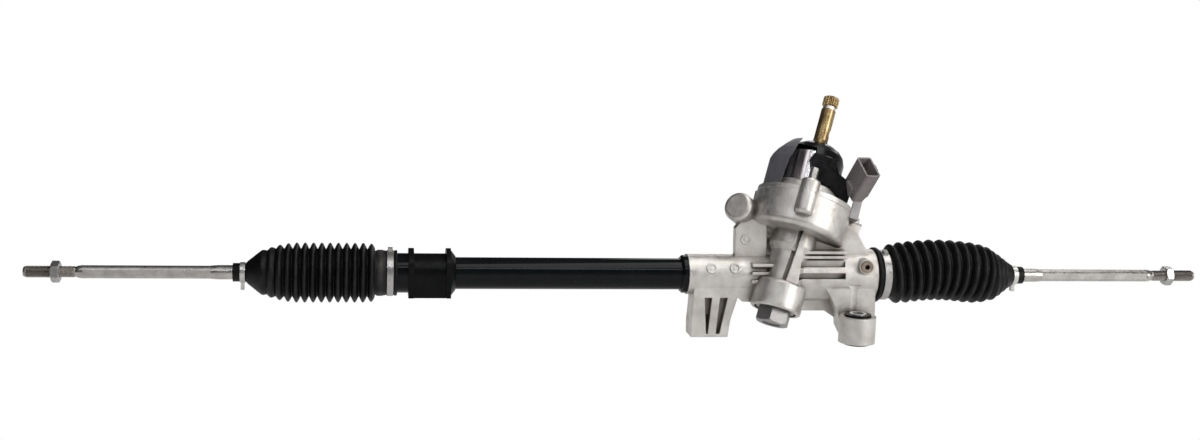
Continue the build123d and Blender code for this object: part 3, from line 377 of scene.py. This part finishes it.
slots = {part["node"]: part["material_slot"] for part in frame["record"]["subparts"]}
for name, slot in slots.items():
    mesh = frame["nodes"][name].data
    smooth_shading(mesh)
    mesh.materials.clear()
    mesh.materials.append(looks[SPECIAL.get(name, slot)])


# ---------------------------------------------------------------- meshes from rings, in mm
def bridge(shape, near, far):
    """Faces between two rings of vertices."""
    for k in range(len(near)):
        n = (k + 1) % len(near)
        shape.faces.new((near[k], near[n], far[n], far[k]))


def finished(name, shape):
    """The object that a bmesh becomes."""
    mesh = bpy.data.meshes.new(name)
    shape.to_mesh(mesh)
    shape.free()
    return placed(name, mesh)


def turned_mesh(name, rings, around=128):
    """Closed mesh from (station, radius, crest share, lift, slope) rings about the rack's axis.
    The crest share is kept on each vertex as the strength of a painted highlight.
    """
    shape = bmesh.new()
    painted_highlight = shape.verts.layers.float.new("crest")
    loops = []
    for x, r, crest, lift, slope in rings:
        loop = []
        for k in range(around):
            angle = 2 * math.pi * k / around
            side, height = r * math.sin(angle), r * math.cos(angle)
            vert = shape.verts.new(mm(x - height * math.sin(slope), side,
                                      lift + height * math.cos(slope)))
            vert[painted_highlight] = crest
            loop.append(vert)
        loops.append(loop)
    for a, b in zip(loops, loops[1:] + loops[:1]):
        bridge(shape, a, b)
    bmesh.ops.recalc_face_normals(shape, faces=shape.faces)
    for face in shape.faces:
        face.smooth = True
    piece = finished(name, shape)
    piece.data.materials.append(looks["boot_rubber"])
    return piece


# ---------------------------------------------------------------- bellows
RIDGES = 14  # folds of a bellows
STEPS = 10  # points along one fold
FULLNESS = 0.62  # under 1, crests are broad and valleys narrow
LAST_CREST = 0.975  # of the full radius, for the fold beside the cuff
NECK_VALLEY = 0.86  # of the other valleys' radius, for the one beside the neck
NECK_DEPTH, DEPTH_BEFORE, DEPTH_AFTER = 2.4, 3.0, 3.5  # least depths on either side of a crest
TIGHT_STEPS = 4  # steps at the rod's end, over which the pitch closes
WALL = 1.4  # thickness of the folds
CUFF_WALLS = (2.2, 2.4)  # thickness of the cuff at its mouth and at the folds
BORE_R = 7.4  # least radius inside the neck
BOW_POWER = 1.3  # above 1, the centre line bulges without a kink at its ends
# The neck under the small clip, as (distance from the ball, radius, crest share), and its foot.
NECK = ((53.6, 8.9, 0.1), (53.6, 9.3, 0.2), (53.0, 9.4, 0.2), (41.0, 9.4, 0.1), (40.6, 9.8, 0.1))
NECK_FOOT = (11.6, 0.2)


class Bellows:
    """One bellows, placed by stations along the rack. swell gives the share of the full radius of
    the folds at the rod's end, bow how far the centre line bulges up between two stations, and
    cuff the outer line at the large clamp, as (station, radius, crest share)."""

    def __init__(self, side, small_end, large_crest, pitch, closing, crest, valley, swell, bow,
                 cuff):
        self.side, self.small_end, self.cuff, self.bow = side, small_end, cuff, bow
        self.ball, self.way = BALLS[side]
        self.valley = valley
        full = [crest] * (RIDGES - 1 - len(swell))
        self.tops = [crest * share for share in swell] + full + [crest * LAST_CREST]
        self.places = [large_crest]
        for k in range(1, RIDGES):
            step = pitch - closing * max(0, k - (RIDGES - 1 - TIGHT_STEPS))
            self.places.append(self.places[-1] + self.way * step)
        self.places.reverse()

    def centre(self, x):
        """Lift and slope of the centre line, which bulges between two stations."""
        height, start, end = self.bow
        t = (x - start) / (end - start)
        if not 0 < t < 1:
            return 0.0, 0.0
        wave = math.sin(math.pi * t)
        growth = math.cos(math.pi * t) * math.pi / (end - start)
        slope = BOW_POWER * wave ** (BOW_POWER - 1) * growth
        return height * wave ** BOW_POWER, math.atan(height * slope)

    def folds(self):
        """Outer line of the folds, rod's end first, as (station, radius, crest share)."""
        line = []
        gaps = [b - a for a, b in zip(self.places, self.places[1:])]
        gaps = [gaps[0]] + gaps + [gaps[-1]]
        for k, (x, top) in enumerate(zip(self.places, self.tops)):
            before = after = self.valley
            if k == 0:
                before = min(NECK_VALLEY * self.valley, top - NECK_DEPTH)
            else:
                before = min(before, top - DEPTH_BEFORE)
            if k < RIDGES - 1:
                after = min(after, self.tops[k + 1] - DEPTH_AFTER)
            for n in range(STEPS):
                t = n / STEPS - 0.5
                low, gap = (before, gaps[k]) if t < 0 else (after, gaps[k + 1])
                rise = (0.5 + 0.5 * math.cos(2 * math.pi * t)) ** FULLNESS
                line.append((x + gap * t, low + (top - low) * rise, rise))
        return line

    def build(self):
        """Three meshes, cut along the bellows: the folds by the cuff, the bend, and the neck by
        the rod.
        """
        way = self.way
        neck = [(self.ball + way * reach, r, crest) for reach, r, crest in NECK]
        neck.append((self.small_end, *NECK_FOOT))
        folds = self.folds()
        outer = neck + folds
        cut_a, cut_b = folds[2 * STEPS][0], folds[STEPS][0]
        spans = {
            "folds": [p for p in outer if way * p[0] <= way * cut_a + 1e-6],
            "bend": [p for p in outer if way * cut_a - 1e-6 <= way * p[0] <= way * cut_b + 1e-6],
            "neck": [p for p in outer if way * p[0] >= way * cut_b - 1e-6]}
        made = {}
        for key, line in spans.items():
            inside = [(x, max(r - WALL, BORE_R), 0.0) for x, r, _ in reversed(line)]
            if key == "folds":
                line = line + self.cuff
                ends = zip((self.cuff[-1], self.cuff[0]), CUFF_WALLS)
                inside = [(x, r - wall, 0.0) for (x, r, _), wall in ends] + inside
            rings = [(x, r, crest, *self.centre(x)) for x, r, crest in line + inside]
            made[key] = turned_mesh(f"{self.side}_bellows_{key}", rings)
            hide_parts(f"{self.side}_boot")
        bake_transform(made["folds"])
        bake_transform(made["bend"])
        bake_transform(made["neck"])


# On the left cuff, crest shares above 1 paint a lighter, brownish highlight.
Bellows("left", small_end=-361.0, large_crest=-237.4, pitch=8.34, closing=0.0,
        crest=30.6, valley=24.2, swell=(0.75, 0.84, 0.92, 0.975, 1.0), bow=(0.0, -360.0, -230.0),
        cuff=[(-233.4, 22.4, 0.4), (-231.6, 23.6, 1.1), (-227.5, 23.8, 1.5), (-223.4, 23.0, 0.9),
              (-222.8, 22.8, 0.2), (-214.2, 22.8, 0.2), (-213.9, 23.4, 0.3), (-211.8, 23.4, 0.3),
              (-211.3, 22.9, 0.3)]).build()
Bellows("right", small_end=455.2, large_crest=320.2, pitch=10.45, closing=1.15,
        crest=33.0, valley=25.6, swell=(0.57, 0.70, 0.83, 0.92, 0.975, 1.0),
        bow=(5.6, 308.0, 430.0),
        cuff=[(315.4, 25.4, 0.2), (314.3, 26.0, 0.3), (312.0, 26.0, 0.2), (303.0, 26.0, 0.2),
              (301.6, 26.4, 0.2), (301.0, 29.2, 0.3), (300.2, 29.6, 0.3), (297.6, 29.6, 0.3),
              (297.0, 29.0, 0.3)]).build()


# ---------------------------------------------------------------- rod threads
PITCH = 1.25
THREAD = (206.6, 254.4)  # from the ball
THREAD_FREE = 230.0  # from the ball to past the lock nut, where the crests reach their full height
CREST_R, SEATED_R, ROOT_R, INNER_R = 6.0, 5.76, 5.2, 4.9
TURNED_DOWN = (205.9, 254.1)  # from the ball
TURNED_R = 5.05


def screw_thread(name, ball, way, around=40):
    """Right-hand M12 x 1.25 thread on a tie rod, as a closed sleeve."""
    start, end = THREAD
    shape = bmesh.new()

    def point(along, r, k):
        turn = 2 * math.pi * k / around
        across, height = r * math.cos(turn), way * r * math.sin(turn)
        return shape.verts.new(mm(ball + way * along, across, height))

    rows = []
    last = 2 * math.ceil((end - start) / PITCH + 1)
    for j in range(last + 4):
        row = []
        for k in range(around):
            along = min(max(start + PITCH * (j / 2 + k / around - 1), start), end)
            depth = min(1.0, (along - start) / PITCH, (end - along) / PITCH)
            crest = CREST_R if along > THREAD_FREE else SEATED_R
            r = ROOT_R + (crest - ROOT_R) * depth if j % 2 == 0 else ROOT_R
            row.append(point(along, r, k))
        rows.append(row)
    for j in range(last):
        for k in range(around):
            n, up = (k + 1, 0) if k + 1 < around else (0, 2)
            shape.faces.new((rows[j][k], rows[j + up][n], rows[j + 1 + up][n], rows[j + 1][k]))
    walls = [[point(along, r, k) for k in range(around)] for along, r in
             ((start, ROOT_R), (start, INNER_R), (end, INNER_R), (end, ROOT_R))]
    for near, far in zip(walls, walls[1:]):
        bridge(shape, near, far)
    bmesh.ops.remove_doubles(shape, verts=shape.verts, dist=1e-6)
    bmesh.ops.dissolve_degenerate(shape, edges=shape.edges, dist=1e-6)
    bmesh.ops.delete(shape, geom=[v for v in shape.verts if not v.link_faces], context="VERTS")
    bmesh.ops.recalc_face_normals(shape, faces=shape.faces)
    open_edges = sum(len(edge.link_faces) != 2 for edge in shape.edges)
    assert open_edges == 0, f"{name} has {open_edges} open edges"
    return finished(name, shape)


def rod_core(name, node, ball, way):
    """Copy of a tie rod, turned down below the thread's roots where it is threaded."""
    start, end = TURNED_DOWN
    piece = placed(name, node.data.copy())
    for vertex in piece.data.vertices:
        where = (vertex.co - RACK) * 1000
        r = math.hypot(where.y, where.z)
        if start < way * (where.x - ball) < end and r > TURNED_R:
            where.y, where.z = where.y * TURNED_R / r, where.z * TURNED_R / r
            vertex.co = RACK + where * 0.001
    return piece


for side, (ball, way) in BALLS.items():
    core = rod_core(f"{side}_rod_core", frame["nodes"][f"{side}_tie_rod"], ball, way)
    thread = screw_thread(f"{side}_rod_thread", ball, way)
    thread.data.materials.append(looks["rod_steel"])
    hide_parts(f"{side}_tie_rod")
    for piece in (core, thread):
        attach(piece, f"{side}_rod")


# ---------------------------------------------------------------- stage, light and camera
scene.view_settings.view_transform = "Standard"
world = bpy.data.worlds.new("studio")
scene.world = world
world.use_nodes = True
world.node_tree.nodes.clear()
sky = Graph(world.node_tree)


def graded(value, *stops):
    """Grey for a value from -1 to 1, from (value, grey) stops."""
    return sky.ramp(sky.spread(value, 0.0, 1.0, -1.0, 1.0),
                    *(((at + 1) / 2, (grey, grey, grey)) for at, grey in stops))


def background(colour):
    return sky.add("Background", {"Color": colour}).outputs["Background"]


# The camera sees a white backdrop. Metal mirrors less of it towards the dark left, overhead and
# behind, and diffuse faces get a soft light that grows towards the right.
view = sky.split(sky.add("TexCoord", {}).outputs["Generated"])
from_right = graded(view["X"], (-1.0, 0.04), (-0.5, 0.08), (-0.15, 0.3), (0.12, 0.6),
                    (0.35, 0.8), (1.0, 1.0))
from_level = graded(view["Z"], (-1.0, 0.4), (-0.3, 0.8), (0.0, 1.0), (0.22, 0.35), (0.45, 0.08),
                    (0.8, 0.15), (1.0, 0.5))
from_front = graded(view["Y"], (-1.0, 1.0), (0.1, 0.9), (0.55, 0.45), (0.85, 0.16), (1.0, 0.12))
shown = sky.math("MULTIPLY", sky.math("MULTIPLY", from_right, from_level), from_front)
rays = sky.add("LightPath", {}).outputs
mirrored = sky.math("MAXIMUM", rays["Is Glossy Ray"], rays["Is Transmission Ray"])
seen = sky.math("MAXIMUM", rays["Is Camera Ray"], sky.math("MULTIPLY", mirrored, shown))
soft = background(graded(view["X"], (-1.0, 0.12), (0.0, 0.3), (1.0, 0.6)))
unlit = sky.mixed(mirrored, soft, background((0.03, 0.03, 0.032)))
sky.add("OutputWorld", {"Surface": sky.mixed(seen, unlit, background((1, 1, 1)))})


def floor_look():
    """White to the camera, half as bright in metal, and a plain pale floor to everything else."""
    look = Look("studio_floor", (0.72, 0.72, 0.72), 0.0, 0.7)
    glow = look.add("Emission", {"Color": (1, 1, 1)}).outputs["Emission"]
    rays = look.add("LightPath", {}).outputs
    share = look.add("Math", {0: rays["Is Glossy Ray"], 1: 0.5, 2: rays["Is Camera Ray"]},
                     operation="MULTIPLY_ADD").outputs[0]
    look.feed(look.nodes["Material Output"].inputs["Surface"],
              look.mixed(share, look.shader.outputs["BSDF"], glow))
    return look.mat


FLOOR_DROP = 0.004
bpy.ops.mesh.primitive_plane_add(size=6.0, location=(-0.2, 0.3, cad_box[0][2] - FLOOR_DROP))
floor = bpy.context.object
floor.name = "studio_floor"
floor.data.materials.append(floor_look())


def softbox(name, where, target, size, power, colour=(1, 1, 1)):
    """Rectangular area lamp, aimed at a point."""
    data = bpy.data.lights.new(name, "AREA")
    data.shape = "RECTANGLE"
    data.size, data.size_y = size
    data.energy = power
    data.color = colour
    lamp = placed(name, data)
    lamp.location = where
    lamp.rotation_euler = (Vector(target) - lamp.location).to_track_quat("-Z", "Y").to_euler()


CENTRE = (-0.15, 0.04, 0.08)
SENSOR = (-0.05, 0.08, 0.15)
softbox("top_box", (0.2, -0.2, 1.5), CENTRE, (2.0, 0.8), 12.5, (1.0, 0.99, 0.97))
softbox("right_box", (1.1, -1.1, 0.62), CENTRE, (0.6, 0.7), 11.5, (1.0, 0.98, 0.95))
softbox("left_box", (-1.04, -0.49, 1.13), SENSOR, (0.55, 0.55), 1.0, (1.0, 0.95, 0.96))
softbox("front_strip", (-0.25, -1.08, 1.15), CENTRE, (2.4, 0.07), 5.0, (0.9, 0.95, 1.0))
softbox("rear_box", (0.6, 1.4, 0.8), CENTRE, (1.2, 0.6), 4.0)

# The camera's axes and place were fitted to points of the photograph.
camera_data = bpy.data.cameras.new("view")
camera_data.lens = 45.0
camera_data.sensor_width = 36.0
camera = placed("view", camera_data)
right = Vector((0.98795, -0.15108, 0.03361))
up = Vector((-0.00915, 0.15974, 0.98712))
ahead = Vector((0.15451, 0.97553, -0.15643))
place = Vector((-0.514166, -1.486467, 0.352239))
columns = [(*right, 0), (*up, 0), (*-ahead, 0), (*place, 1)]
camera.matrix_world = Matrix(columns).transposed()
scene.camera = camera
